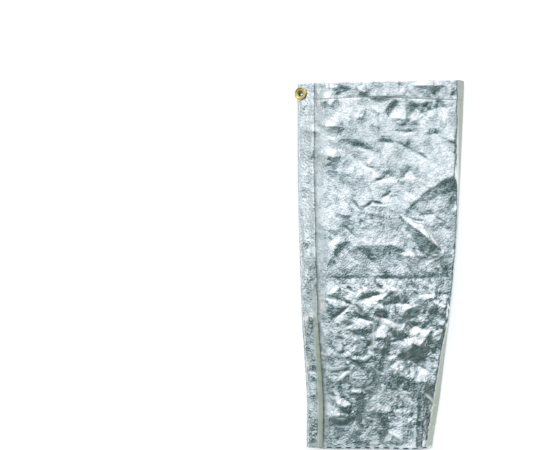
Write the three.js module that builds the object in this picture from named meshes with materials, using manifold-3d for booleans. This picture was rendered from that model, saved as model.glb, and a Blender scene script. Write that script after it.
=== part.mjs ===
// Arm sleeve of aluminised cloth, empty and lying flat on a floor at z = 0, in millimetres.
// +Y runs from the wrist to the arm opening, +X to the right of the lap seam, +Z is up.

import * as THREE from 'three';
import { mergeVertices } from 'three/addons/utils/BufferGeometryUtils.js';
import Module from 'manifold-3d';

const wasm = await Module();
wasm.setup();

// Driving dimensions
const LENGTH = 450;
const CLOTH = 1.2;
const CLEARANCE = 0.3;
const ARM_HEM_DEPTH = 23;
const WRIST_HEM_DEPTH = 6.5;
const HEM_FOLD = 1.3;
const ARM_EDGE_DROP = 3.6;
const FLAP_WIDTH = 20.8;
const FLAP_CLOTH = 1.0;
const FLAP_BEAD = 6.2;
const FLAP_BEAD_RISE = 2.1;
const FLAP_EASE = 0.4;

// The two side folds of the tube: the left one is flat and creased, the right one is round,
// with a radius of its own in each section
const LEFT_FOLD_RADIUS = 3.2;
const LEFT_SLOPE = THREE.MathUtils.degToRad(25);
const RIGHT_SLOPE = THREE.MathUtils.degToRad(20);
const CROWN_ROUNDING = 1.5;

// The brass eyelet: where it is set, and its own radii and heights
const EYELET_FROM_EDGE = 5.1;
const EYELET_Y = 210;
const EYELET_FLANGE_R = 8;
const EYELET_RIM_WIDTH = 2.0;
const EYELET_RIM_RISE = 1.1;
const EYELET_DISH_RISE = 0.6;
const EYELET_LIP_WIDTH = 1.3;
const EYELET_HOLE_R = 3.2;
const EYELET_METAL = 0.5;
const EYELET_ROLL_R = 4.5;
const EYELET_ROLL_THICK = 0.9;
const EYELET_EASE = 0.3;

// How finely each stretch of the section loop is divided
const BOTTOM_STEPS = 6;
const RIGHT_STEPS = 6;
const TOP_STEPS = 27;
const LEFT_STEPS = 5;
const BODY_STEPS = 33;
const EYELET_SIDES = 20;

const WRIST_Y = -LENGTH / 2;
const ARM_Y = LENGTH / 2;
const ARM_STITCH_Y = ARM_Y - ARM_HEM_DEPTH;
const WRIST_STITCH_Y = WRIST_Y + WRIST_HEM_DEPTH;

// Flat outline, height and right fold radius of the empty tube, a row for each section
const SECTIONS = [
  { y: -225, left: -90.0, right: 64.3, crown: 19, side: 8.5 },
  { y: -166, left: -89.4, right: 74.1, crown: 20, side: 9 },
  { y: -99, left: -93.7, right: 82.0, crown: 21, side: 6.5 },
  { y: -68, left: -96.1, right: 86.3, crown: 21.5, side: 5.5 },
  { y: 17, left: -98.9, right: 94.9, crown: 23, side: 5.5 },
  { y: 103, left: -101.0, right: 99.2, crown: 23.5, side: 7.5 },
  { y: 225, left: -101.0, right: 104.3, crown: 22, side: 9 },
];

// Main crumples of the upper layer, a row for each: centre, turn in degrees from +X,
// length along the fold, half width across it, and rise (a valley has a negative rise)
const FOLDS = [
  { x: 24, y: 188, turn: 100, length: 60, width: 8, rise: 2.8 },
  { x: 43, y: 187, turn: 80, length: 44, width: 9, rise: -3.1 },
  { x: 66, y: 186, turn: -30, length: 46, width: 9, rise: 2.5 },
  { x: 20, y: 160, turn: 0, length: 110, width: 9, rise: 2.8 },
  { x: -26, y: 146, turn: -3, length: 84, width: 9, rise: -3.5 },
  { x: 36, y: 143, turn: -26, length: 60, width: 9, rise: -2.8 },
  { x: -8, y: 126, turn: -26, length: 76, width: 10, rise: 3.1 },
  { x: -30, y: 106, turn: -5, length: 74, width: 10, rise: -3.4 },
  { x: 68, y: 97, turn: 20, length: 70, width: 9, rise: 3.4 },
  { x: 66, y: 80, turn: 16, length: 60, width: 9, rise: -2.5 },
  { x: -4, y: 76, turn: 12, length: 60, width: 9, rise: 2.5 },
  { x: 42, y: 58, turn: -8, length: 62, width: 9, rise: 3.1 },
  { x: -34, y: 48, turn: -52, length: 66, width: 9, rise: -2.5 },
  { x: 58, y: 22, turn: -58, length: 92, width: 15, rise: -4.2 },
  { x: -10, y: 16, turn: 8, length: 80, width: 12, rise: -2.2 },
  { x: 5, y: -24, turn: 0, length: 165, width: 11, rise: 3.6 },
  { x: -51, y: -39, turn: -18, length: 56, width: 8, rise: -3.6 },
  { x: -17, y: -39, turn: 22, length: 46, width: 8, rise: -3.1 },
  { x: 22, y: -52, turn: 4, length: 110, width: 9, rise: 3.1 },
  { x: -22, y: -66, turn: -42, length: 60, width: 9, rise: -3.1 },
  { x: 53, y: -88, turn: 60, length: 52, width: 13, rise: 3.4 },
  { x: 2, y: -102, turn: -8, length: 62, width: 9, rise: -3.6 },
  { x: -50, y: -108, turn: 24, length: 50, width: 9, rise: 2.5 },
  { x: 44, y: -112, turn: -20, length: 52, width: 9, rise: -3.4 },
  { x: 40, y: -135, turn: -33, length: 72, width: 9, rise: 3.6 },
  { x: 10, y: -140, turn: -32, length: 62, width: 9, rise: -3.1 },
  { x: -46, y: -172, turn: -45, length: 52, width: 9, rise: 3.1 },
  { x: -8, y: -196, turn: 80, length: 46, width: 10, rise: -2.8 },
  { x: 46, y: -186, turn: 88, length: 56, width: 8, rise: 2.5 },
];

// The folds start clear of the lap seam and die away over a short stretch beside each side fold
const FOLDS_FROM = FLAP_WIDTH + 3;
const EDGE_CALM = 12;
const STITCH_DIP = 1.0;
const STITCH_REACH = 4;

const { smoothstep, lerp, degToRad } = THREE.MathUtils;

// A column of SECTIONS at any y, straight between its rows
function sectionValue(column, y) {
  const inside = THREE.MathUtils.clamp(y, WRIST_Y, ARM_Y);
  const next = Math.max(1, SECTIONS.findIndex((row) => row.y >= inside));
  const from = SECTIONS[next - 1];
  const to = SECTIONS[next];
  return lerp(from[column], to[column], (inside - from.y) / (to.y - from.y));
}

// Height that the crumples add at a point of the upper layer
function foldHeight(x, y) {
  let height = 0;
  for (const fold of FOLDS) {
    const turn = degToRad(fold.turn);
    const along = (x - fold.x) * Math.cos(turn) + (y - fold.y) * Math.sin(turn);
    const across = (y - fold.y) * Math.cos(turn) - (x - fold.x) * Math.sin(turn);
    const reach = Math.max(0, 1 - (2 * along / fold.length) ** 2);
    height += fold.rise * reach ** 2 * Math.exp(-((across / fold.width) ** 2));
  }
  return height;
}

// The stitch line of each hem draws the cloth in
function stitchHeight(y) {
  const arm = (y - ARM_STITCH_Y) / STITCH_REACH;
  const wrist = (y - WRIST_STITCH_Y) / STITCH_REACH;
  return -STITCH_DIP * (Math.exp(-(arm ** 2)) + Math.exp(-(wrist ** 2)));
}

// Where the straight slope under the lap seam starts, from the left edge and from the floor
const SLOPE_START = LEFT_FOLD_RADIUS * (1 - Math.sin(LEFT_SLOPE));
const SLOPE_FOOT = LEFT_FOLD_RADIUS * (1 + Math.cos(LEFT_SLOPE));

function slopeHeight(fromEdge) {
  return SLOPE_FOOT + Math.tan(LEFT_SLOPE) * (fromEdge - SLOPE_START);
}

// Upper layer: the soft minimum of the left slope, the crown and the right slope, with the folds
function topHeight(fromEdge, y) {
  const width = sectionValue('right', y) - sectionValue('left', y);
  const rightRadius = sectionValue('side', y);
  const rightStart = width - rightRadius * (1 - Math.sin(RIGHT_SLOPE));
  const rightFoot = rightRadius * (1 + Math.cos(RIGHT_SLOPE));
  const limits = [
    slopeHeight(fromEdge),
    sectionValue('crown', y),
    rightFoot + Math.tan(RIGHT_SLOPE) * (rightStart - fromEdge),
  ];
  const smooth = -CROWN_ROUNDING * Math.log(
    limits.reduce((sum, limit) => sum + Math.exp(-limit / CROWN_ROUNDING), 0));
  const calm = smoothstep(fromEdge, FOLDS_FROM, FOLDS_FROM + EDGE_CALM)
    * (1 - smoothstep(fromEdge, rightStart - EDGE_CALM, rightStart));
  const x = sectionValue('left', y) + fromEdge;
  return smooth + calm * (foldHeight(x, y) + stitchHeight(y));
}

// Points of a circular fold from one angle to another, without the last one
function foldArc(centreX, radius, fromAngle, toAngle, steps) {
  return Array.from({ length: steps }, (_, i) => {
    const angle = lerp(fromAngle, toAngle, i / steps);
    return new THREE.Vector2(centreX + radius * Math.cos(angle), radius + radius * Math.sin(angle));
  });
}

// Outer section loop at y: along the floor to the right, round the right fold, back over the
// upper layer and round the left fold
function sectionLoop(y) {
  const left = sectionValue('left', y);
  const right = sectionValue('right', y);
  const rightRadius = sectionValue('side', y);
  const floorFrom = left + LEFT_FOLD_RADIUS;
  const floorTo = right - rightRadius;
  const topFrom = right - rightRadius * (1 - Math.sin(RIGHT_SLOPE));
  const topTo = left + SLOPE_START;
  const quarter = Math.PI / 2;
  const floor = Array.from({ length: BOTTOM_STEPS }, (_, i) =>
    new THREE.Vector2(lerp(floorFrom, floorTo, i / BOTTOM_STEPS), 0));
  const top = Array.from({ length: TOP_STEPS }, (_, i) => {
    const x = lerp(topFrom, topTo, i / TOP_STEPS);
    return new THREE.Vector2(x, topHeight(x - left, y));
  });
  return [
    ...floor,
    ...foldArc(floorTo, rightRadius, -quarter, quarter - RIGHT_SLOPE, RIGHT_STEPS),
    ...top,
    ...foldArc(floorFrom, LEFT_FOLD_RADIUS, quarter + LEFT_SLOPE, 3 * quarter, LEFT_STEPS),
  ];
}

// The arm edge is cut slightly askew: its left corner sits lower than its right one
function skewedY(x, y) {
  const across = (x - sectionValue('left', y)) / (sectionValue('right', y) - sectionValue('left', y));
  return y - ARM_EDGE_DROP * (1 - across) * smoothstep(y, ARM_STITCH_Y, ARM_Y);
}

// The section loop at y moved inwards by inset, as points in space
function insetLoop(y, inset) {
  const loop = sectionLoop(y);
  return loop.map((point, i) => {
    const before = loop[(i + loop.length - 1) % loop.length];
    const after = loop[(i + 1) % loop.length];
    const along = after.clone().sub(before).normalize();
    const x = point.x - along.y * inset;
    const z = point.y + along.x * inset;
    return [x, skewedY(point.x, y), z];
  });
}

function meshGeometry(positions, index) {
  const geometry = new THREE.BufferGeometry();
  geometry.setAttribute('position', new THREE.Float32BufferAttribute(positions, 3));
  geometry.setIndex(index);
  return geometry;
}

// A ring of cloth: a closed profile of y and inset, carried round the section loop
function ringOfCloth(profile) {
  const rows = profile.map(({ y, inset }) => insetLoop(y, inset));
  const around = rows[0].length;
  const index = [];
  rows.forEach((_, j) => {
    const row = j * around;
    const nextRow = ((j + 1) % rows.length) * around;
    for (let i = 0; i < around; i++) {
      const k = (i + 1) % around;
      index.push(row + i, nextRow + k, row + k, row + i, nextRow + i, nextRow + k);
    }
  });
  return meshGeometry(rows.flat(2), index);
}

// A strip on the slope beside the left edge: a closed profile of distance from the edge and lift,
// carried through the given stations and closed at both ends
function stripOnSlope(profile, stations) {
  const lean = new THREE.Vector2(-Math.sin(LEFT_SLOPE), Math.cos(LEFT_SLOPE));
  const rows = stations.map((y) => profile.map(({ fromEdge, lift }) => {
    const x = sectionValue('left', y) + fromEdge + lean.x * lift;
    return [x, skewedY(x, y), slopeHeight(fromEdge) + lean.y * lift];
  }));
  const across = profile.length;
  const index = [];
  for (let j = 0; j < rows.length - 1; j++) {
    for (let i = 0; i < across; i++) {
      const k = (i + 1) % across;
      const row = j * across;
      const nextRow = row + across;
      index.push(row + i, nextRow + k, row + k, row + i, nextRow + i, nextRow + k);
    }
  }
  const outline = profile.map(({ fromEdge, lift }) => new THREE.Vector2(fromEdge, lift));
  const lastRow = (rows.length - 1) * across;
  for (const [a, b, c] of THREE.ShapeUtils.triangulateShape(outline, [])) {
    index.push(a, b, c, lastRow + a, lastRow + c, lastRow + b);
  }
  return meshGeometry(rows.flat(2), index);
}

function solidFrom(geometry) {
  const bare = geometry.clone();
  bare.deleteAttribute('normal');
  bare.deleteAttribute('uv');
  const merged = mergeVertices(bare, 1e-4);
  return new wasm.Manifold(new wasm.Mesh({
    numProp: 3,
    vertProperties: new Float32Array(merged.attributes.position.array),
    triVerts: new Uint32Array(merged.index.array),
  }));
}

function geometryFrom(solid) {
  const mesh = solid.getMesh();
  return meshGeometry(mesh.vertProperties, Array.from(mesh.triVerts));
}

// Stations along the tube, closer together inside the two hems
const BODY_WRIST_Y = WRIST_Y + HEM_FOLD + CLEARANCE;
const BODY_ARM_Y = ARM_Y - HEM_FOLD - CLEARANCE;
const ARM_HEM_STATIONS = [0, 0.17, 0.4, 0.7].map((share) => lerp(ARM_STITCH_Y, BODY_ARM_Y, share));
const BODY_STATIONS = [
  BODY_WRIST_Y,
  lerp(BODY_WRIST_Y, WRIST_STITCH_Y, 0.5),
  ...Array.from({ length: BODY_STEPS }, (_, i) => lerp(WRIST_STITCH_Y, ARM_STITCH_Y, i / BODY_STEPS)),
  ...ARM_HEM_STATIONS,
  BODY_ARM_Y,
];

function sleeveBody() {
  const outside = BODY_STATIONS.map((y) => ({ y, inset: 0 }));
  const inside = BODY_STATIONS.map((y) => ({ y, inset: CLOTH })).reverse();
  return ringOfCloth([...outside, ...inside]);
}

// Inset of the turned-in layer's two faces: it lies inside the wall of the body
const TURNED_FROM = CLOTH + CLEARANCE;
const TURNED_TO = TURNED_FROM + CLOTH;
const HEM_ROUND = 0.5;

// Turned-in layer of the arm opening, with the fold that covers the body's edge
function armHem() {
  const foldFrom = ARM_Y - HEM_FOLD;
  return ringOfCloth([
    ...ARM_HEM_STATIONS.map((y) => ({ y, inset: TURNED_FROM })),
    { y: foldFrom, inset: TURNED_FROM },
    { y: foldFrom, inset: 0 },
    { y: ARM_Y - HEM_ROUND, inset: 0 },
    { y: ARM_Y, inset: HEM_ROUND },
    { y: ARM_Y, inset: TURNED_TO - HEM_ROUND },
    { y: ARM_Y - HEM_ROUND, inset: TURNED_TO },
    ...ARM_HEM_STATIONS.map((y) => ({ y, inset: TURNED_TO })).reverse(),
  ]);
}

function wristHem() {
  const foldTo = WRIST_Y + HEM_FOLD;
  return ringOfCloth([
    { y: WRIST_Y, inset: TURNED_TO - HEM_ROUND },
    { y: WRIST_Y, inset: HEM_ROUND },
    { y: WRIST_Y + HEM_ROUND, inset: 0 },
    { y: foldTo, inset: 0 },
    { y: foldTo, inset: TURNED_FROM },
    { y: BODY_STATIONS[1], inset: TURNED_FROM },
    { y: WRIST_STITCH_Y, inset: TURNED_FROM },
    { y: WRIST_STITCH_Y, inset: TURNED_TO },
    { y: BODY_STATIONS[1], inset: TURNED_TO },
    { y: WRIST_Y + HEM_ROUND, inset: TURNED_TO },
  ]);
}

// Lap of the seam, with its folded edge as a thicker bead along the right
const FLAP_TOP = CLEARANCE + FLAP_CLOTH;
const FLAP_START = SLOPE_START + FLAP_EASE;

function seamFlap() {
  const beadFrom = FLAP_WIDTH - FLAP_BEAD;
  const profile = [
    { fromEdge: FLAP_START, lift: CLEARANCE },
    { fromEdge: FLAP_WIDTH - FLAP_EASE, lift: CLEARANCE },
    { fromEdge: FLAP_WIDTH, lift: CLEARANCE + FLAP_EASE },
    { fromEdge: FLAP_WIDTH - FLAP_EASE, lift: FLAP_BEAD_RISE - FLAP_EASE },
    { fromEdge: FLAP_WIDTH - FLAP_BEAD / 2, lift: FLAP_BEAD_RISE },
    { fromEdge: beadFrom + 2 * FLAP_EASE, lift: FLAP_BEAD_RISE - FLAP_EASE },
    { fromEdge: beadFrom, lift: FLAP_TOP },
    { fromEdge: FLAP_START + FLAP_EASE, lift: FLAP_TOP },
  ];
  const stations = [WRIST_Y + HEM_ROUND, ...BODY_STATIONS, ARM_Y - HEM_ROUND];
  return stripOnSlope(profile, stations);
}

// Heights along the eyelet's axis, from the underside of its flange on the flap
const ROLL_TOP = -(CLEARANCE + FLAP_TOP + CLOTH + CLEARANCE);
const ROLL_FOOT = ROLL_TOP - EYELET_ROLL_THICK;
const BARREL_R = EYELET_HOLE_R + EYELET_METAL;

// One-piece eyelet: dished flange with a raised rim, barrel, and the roll that clinches the cloth
function eyelet() {
  const profile = [
    [BARREL_R, 0],
    [EYELET_FLANGE_R - EYELET_EASE, 0],
    [EYELET_FLANGE_R, EYELET_EASE],
    [EYELET_FLANGE_R - EYELET_EASE, EYELET_RIM_RISE - EYELET_EASE],
    [EYELET_FLANGE_R - EYELET_RIM_WIDTH / 2, EYELET_RIM_RISE],
    [EYELET_FLANGE_R - EYELET_RIM_WIDTH, EYELET_DISH_RISE],
    [EYELET_HOLE_R + EYELET_LIP_WIDTH, EYELET_DISH_RISE],
    [EYELET_HOLE_R + EYELET_LIP_WIDTH / 2, EYELET_RIM_RISE],
    [EYELET_HOLE_R, EYELET_DISH_RISE],
    [EYELET_HOLE_R, ROLL_FOOT + EYELET_EASE],
    [EYELET_HOLE_R + EYELET_EASE, ROLL_FOOT],
    [EYELET_ROLL_R - EYELET_EASE, ROLL_FOOT],
    [EYELET_ROLL_R, ROLL_FOOT + EYELET_EASE],
    [EYELET_ROLL_R, ROLL_TOP],
    [BARREL_R, ROLL_TOP],
    [BARREL_R, 0],
  ];
  return new THREE.LatheGeometry(
    profile.map(([radius, height]) => new THREE.Vector2(radius, height)), EYELET_SIDES);
}

// Turns a shape whose axis is +Y to stand on the slope at the eyelet, lifted by so much
function setAtEyelet(geometry, lift) {
  const x = sectionValue('left', EYELET_Y) + EYELET_FROM_EDGE;
  const axis = new THREE.Vector3(-Math.sin(LEFT_SLOPE), 0, Math.cos(LEFT_SLOPE));
  const turn = new THREE.Quaternion().setFromUnitVectors(new THREE.Vector3(0, 1, 0), axis);
  const place = new THREE.Vector3(x, EYELET_Y, slopeHeight(EYELET_FROM_EDGE)).addScaledVector(axis, lift);
  return geometry.applyMatrix4(new THREE.Matrix4().compose(place, turn, new THREE.Vector3(1, 1, 1)));
}

// Hole through the cloth at the eyelet, from one lift to another
function eyeletHole(radius, fromLift, toLift) {
  const plug = new THREE.CylinderGeometry(radius, radius, toLift - fromLift, EYELET_SIDES);
  return solidFrom(setAtEyelet(plug, (fromLift + toLift) / 2));
}

const BARREL_HOLE_R = BARREL_R + CLEARANCE;
const ROLL_HOLE_R = EYELET_ROLL_R + 2 * CLEARANCE;
const CUT_PAST = 0.6;
const HOLE_TOP = FLAP_BEAD_RISE + CUT_PAST;
const BODY_HOLE_FOOT = -(CLOTH + CUT_PAST);
const HEM_HOLE_FOOT = -(TURNED_TO + CUT_PAST);

const flapSolid = solidFrom(seamFlap()).subtract(eyeletHole(BARREL_HOLE_R, -CUT_PAST, HOLE_TOP));
const bodySolid = solidFrom(sleeveBody()).subtract(eyeletHole(BARREL_HOLE_R, BODY_HOLE_FOOT, HOLE_TOP));
const hemSolid = solidFrom(armHem()).subtract(eyeletHole(ROLL_HOLE_R, HEM_HOLE_FOOT, HOLE_TOP));

const foil = { color: 0xc6d0d6, metalness: 0.85, roughness: 0.34 };
const foilEdge = { color: 0xb4bdb8, metalness: 0.7, roughness: 0.42 };
const brass = { color: 0xb89c52, metalness: 1, roughness: 0.3 };

const sleeve = new THREE.Group();
sleeve.name = 'arm_sleeve';

function addPiece(name, geometry, finish) {
  const piece = new THREE.Mesh(geometry, new THREE.MeshStandardMaterial(finish));
  piece.name = name;
  sleeve.add(piece);
}

addPiece('sleeve_body', geometryFrom(bodySolid), foil);
addPiece('arm_hem', geometryFrom(hemSolid), foil);
addPiece('wrist_hem', wristHem(), foil);
addPiece('seam_flap', geometryFrom(flapSolid), foilEdge);
addPiece('eyelet', setAtEyelet(eyelet(), CLEARANCE + FLAP_TOP), brass);

export default sleeve;
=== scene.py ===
# %% [markdown]
# # An arm sleeve of aluminised cloth
# The object is an empty protective sleeve of silver, foil-faced cloth that lies flat on a white
# floor. It is a tapered tube, open at both ends, with a drawcord casing at the arm opening, a
# lap seam along its left edge and a brass eyelet at the top of that seam.
# The pieces keep the sizes of the imported frame, so the frame is loaded first.

# %% Load the frame
import math

import bpy
import numpy as np
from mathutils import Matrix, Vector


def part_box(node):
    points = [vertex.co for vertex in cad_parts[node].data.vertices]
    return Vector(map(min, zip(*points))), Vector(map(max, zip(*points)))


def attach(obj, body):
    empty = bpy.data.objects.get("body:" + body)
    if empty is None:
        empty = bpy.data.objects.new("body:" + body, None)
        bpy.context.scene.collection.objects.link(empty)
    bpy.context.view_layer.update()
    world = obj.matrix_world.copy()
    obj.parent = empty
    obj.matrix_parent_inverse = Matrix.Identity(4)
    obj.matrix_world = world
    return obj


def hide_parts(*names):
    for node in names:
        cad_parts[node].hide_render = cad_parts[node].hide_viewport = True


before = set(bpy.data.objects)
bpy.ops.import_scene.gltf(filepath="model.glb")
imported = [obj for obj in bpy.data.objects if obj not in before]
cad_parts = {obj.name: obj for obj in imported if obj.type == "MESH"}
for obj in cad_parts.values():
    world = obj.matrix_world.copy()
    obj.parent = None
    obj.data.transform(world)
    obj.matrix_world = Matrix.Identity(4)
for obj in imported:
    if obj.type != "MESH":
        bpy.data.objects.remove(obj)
scene = bpy.context.scene
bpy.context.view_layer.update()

# %% [markdown]
# ## The camera
# The photograph looks straight down on the floor, with the wrist at the bottom edge. One pixel
# covers the sleeve's length divided by its height in pixels, and that gives the width of the
# field. A long lens is used because the two sides of the sleeve show almost no perspective.
# The part's zero sits at a known pixel, so the camera is moved by the rest and never shifted.

# %% Camera
MM = 0.001
LENGTH = 450.0
LENGTH_PIXELS = 367.5
MM_PER_PIXEL = LENGTH / LENGTH_PIXELS
PIXELS_WIDE, PIXELS_HIGH = 540, 450
ZERO_PIXEL = (379.5, 264.25)
LENS = 85.0
SENSOR = 36.0
# height of the outline over the floor, where a pixel has that size
EDGE_HEIGHT = 8.0

field_width = PIXELS_WIDE * MM_PER_PIXEL
camera_data = bpy.data.cameras.new("overhead_camera")
camera_data.lens = LENS
camera_data.sensor_width = SENSOR
camera = bpy.data.objects.new("overhead_camera", camera_data)
camera.location = (
    (PIXELS_WIDE / 2 - ZERO_PIXEL[0]) * MM_PER_PIXEL * MM,
    (ZERO_PIXEL[1] - PIXELS_HIGH / 2) * MM_PER_PIXEL * MM,
    (field_width * LENS / SENSOR + EDGE_HEIGHT) * MM,
)
scene.collection.objects.link(camera)
scene.camera = camera
print("camera at", [round(value, 3) for value in camera.location])

# %% [markdown]
# ## Helpers for nodes
# The surroundings and all the finishes are small trees of nodes, so the same few helpers build
# them. What goes into a node is either set on it or linked from another node.

# %% Node helpers
def new_finish(name):
    """A material with its tree and its shader."""
    material = bpy.data.materials.new(name)
    material.use_nodes = True
    return material, material.node_tree, material.node_tree.nodes["Principled BSDF"]


def set_socket(tree, socket, value):
    """Links another socket to this one, or sets it to a value or a colour without alpha."""
    if isinstance(value, bpy.types.NodeSocket):
        tree.links.new(value, socket)
    elif socket.type == "RGBA":
        socket.default_value = (*value, 1.0)
    else:
        socket.default_value = value


def add_node(tree, kind, inputs=(), **settings):
    """A node with its settings, and its inputs set or linked."""
    node = tree.nodes.new(kind)
    for key, value in settings.items():
        setattr(node, key, value)
    for key, value in dict(inputs).items():
        set_socket(tree, node.inputs[key], value)
    return node


def maths(tree, operation, first, second):
    """One operation on two values, as a socket."""
    return add_node(tree, "ShaderNodeMath", {0: first, 1: second}, operation=operation).outputs[0]


def vectors(tree, operation, first, second):
    """One operation on two vectors, as a node."""
    return add_node(tree, "ShaderNodeVectorMath", {0: first, 1: second}, operation=operation)


def mixed(tree, share, first, second):
    """A colour between two others, as a socket."""
    inputs = {0: share, 6: first, 7: second}
    return add_node(tree, "ShaderNodeMix", data_type="RGBA", inputs=inputs).outputs[2]


def ranged(tree, value, low, high, to_low, to_high):
    """The value moved from one range to another, as a socket."""
    inputs = {0: value, 1: low, 2: high, 3: to_low, 4: to_high}
    return add_node(tree, "ShaderNodeMapRange", inputs).outputs[0]


def ramp(tree, rows, share):
    """A colour ramp from rows of place and colour, read at a share, as a socket."""
    node = add_node(tree, "ShaderNodeValToRGB", {"Fac": share})
    stops = node.color_ramp.elements
    for place, _ in rows[1:-1]:
        stops.new(place)
    for stop, (place, colour) in zip(stops, rows):
        stop.position = place
        stop.color = (*colour, 1.0)
    return node.outputs["Color"]


print("helpers ready")

# %% [markdown]
# ## The surroundings
# Foil shows what is around it, so the surroundings are chosen before the cloth. A facet that
# leans to the top of the picture mirrors a broad white panel, one that leans to the bottom
# mirrors a dark, greenish ceiling, and one that leans far to the left mirrors a second panel.
# Low directions show the walls, which are pale at the sides and darker at both ends. All of it
# is a gradient worked out from the direction, so no picture file is needed.

# %% Steps of light
BRIGHT_SIDE = (-0.12, 0.60, 0.76)
SKY_STRENGTH = 1.7
# how near a direction is to the bright side, and the colour there
SKY_STOPS = [
    (0.20, (0.030, 0.056, 0.055)),
    (0.46, (0.040, 0.072, 0.072)),
    (0.56, (0.073, 0.117, 0.120)),
    (0.617, (0.142, 0.205, 0.217)),
    (0.665, (0.285, 0.357, 0.383)),
    (0.715, (0.490, 0.567, 0.604)),
    (0.78, (0.575, 0.634, 0.670)),
    (0.84, (0.625, 0.668, 0.700)),
    (0.91, (0.735, 0.750, 0.780)),
    (0.97, (0.900, 0.880, 0.915)),
]

# the sideways part of a direction from -1 to 1, and what it adds to the nearness: a panel stands
# far to the left, and the strips beside the middle are a little darker
SIDE_STOPS = [
    (-1.0, 0.14), (-0.8, 0.17), (-0.65, 0.23), (-0.51, 0.0),
    (-0.36, -0.1), (0.0, 0.0), (0.34, -0.08), (1.0, -0.12),
]
SIDE_LEAST = -0.12
# that part fades where a direction leans to the top of the picture: from, to, share from, share to
SIDE_SHARE = (-0.05, 0.3, 1.0, 0.15)

# the walls beside the sleeve and at its ends, and the heights between which they take over
WALL_LIGHT = (0.68, 0.69, 0.68)
END_LIGHT = (0.24, 0.26, 0.26)
WALL_HEIGHTS = (0.48, 0.18)
print("steps of light:", len(SKY_STOPS), "and sideways:", len(SIDE_STOPS))

# %% Surroundings
scene.view_settings.view_transform = "Standard"
world = bpy.data.worlds.new("studio")
world.use_nodes = True
scene.world = world
sky = world.node_tree

direction = add_node(sky, "ShaderNodeTexCoord").outputs["Generated"]
nearness = vectors(sky, "DOT_PRODUCT", direction, BRIGHT_SIDE).outputs["Value"]
split = add_node(sky, "ShaderNodeSeparateXYZ", {"Vector": direction})
across, to_top, height = split.outputs["X"], split.outputs["Y"], split.outputs["Z"]

side_rows = [((x + 1.0) / 2, (add - SIDE_LEAST,) * 3) for x, add in SIDE_STOPS]
sideways = ramp(sky, side_rows, maths(sky, "ADD", maths(sky, "MULTIPLY", across, 0.5), 0.5))
sideways = maths(sky, "ADD", sideways, SIDE_LEAST)
beside = maths(sky, "MULTIPLY", sideways, ranged(sky, to_top, *SIDE_SHARE))
sky_tone = ramp(sky, SKY_STOPS, maths(sky, "ADD", nearness, beside))
wall_tone = mixed(sky, maths(sky, "MULTIPLY", across, across), END_LIGHT, WALL_LIGHT)
shown = mixed(sky, ranged(sky, height, *WALL_HEIGHTS, 0.0, 1.0), sky_tone, wall_tone)
background = sky.nodes["Background"]
sky.links.new(shown, background.inputs["Color"])
background.inputs["Strength"].default_value = SKY_STRENGTH
print("nodes of the surroundings:", len(sky.nodes))

# %% [markdown]
# ## A lamp and the floor
# The surroundings alone leave hardly a shadow, so one weak, broad lamp stands high beyond the
# arm end. The floor is a flat sheet of white paper that glows a little, because the photograph
# shows it as plain white right up to the cloth.

# %% Lamp
PANEL_PLACE = (-0.9, 1.9, 2.3)
PANEL_SIZE = (2.2, 1.5)
PANEL_POWER = 8.0
PANEL_COLOUR = (1.0, 0.985, 1.0)

panel_data = bpy.data.lights.new("top_panel", "AREA")
panel_data.shape = "RECTANGLE"
panel_data.size, panel_data.size_y = PANEL_SIZE
panel_data.energy = PANEL_POWER
panel_data.color = PANEL_COLOUR
panel = bpy.data.objects.new("top_panel", panel_data)
panel.location = PANEL_PLACE
# the lamp's face looks at the part's zero
panel_x, panel_y, panel_z = PANEL_PLACE
panel_lean = math.atan2(math.hypot(panel_x, panel_y), panel_z)
panel.rotation_euler = (panel_lean, 0.0, math.atan2(panel_x, -panel_y))
scene.collection.objects.link(panel)
print("lamp:", panel.name, "leans", round(math.degrees(panel_lean)), "degrees")

# %% Floor
FLOOR_HALF = 3.0
FLOOR_LEVEL = -0.0004
PAPER_GREY = 0.93
PAPER_GLOW = 0.55

corners = np.array([(-1, -1), (1, -1), (1, 1), (-1, 1)]) * FLOOR_HALF
corners = np.column_stack([corners, np.full(4, FLOOR_LEVEL)])
floor_mesh = bpy.data.meshes.new("floor")
floor_mesh.from_pydata(corners.tolist(), [], [(0, 1, 2, 3)])
floor = bpy.data.objects.new("floor", floor_mesh)
scene.collection.objects.link(floor)

paper, _, paper_shader = new_finish("white_paper")
paper_shader.inputs["Base Color"].default_value = (PAPER_GREY, PAPER_GREY, PAPER_GREY, 1.0)
paper_shader.inputs["Roughness"].default_value = 0.9
paper_shader.inputs["Emission Color"].default_value = (1.0, 1.0, 1.0, 1.0)
paper_shader.inputs["Emission Strength"].default_value = PAPER_GLOW
floor_mesh.materials.append(paper)
print("floor at", FLOOR_LEVEL, "m")

# %% [markdown]
# ## The smooth tube
# An empty sleeve is a flattened tube. Its outline tapers from the arm to the wrist, the left
# fold is pressed flat under the lap seam and the right fold is soft and round. The section is
# written as a closed loop of four stretches: the floor, the right fold, the upper layer and the
# left fold. A table holds the outline at a few stations, as a pattern cutter would note it.

# %% Sections of the tube
ARM_Y = LENGTH / 2
WRIST_Y = -LENGTH / 2
CASING_DEPTH = 23.0
WRIST_HEM_DEPTH = 6.5
ARM_EDGE_DROP = 3.6
LEFT_FOLD = 3.2
LEFT_SLOPE = math.radians(25)
CROWN_ROUNDING = 1.5
SIDE_FOLD = 5.0
SIDE_ROUNDING = 0.5

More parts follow.
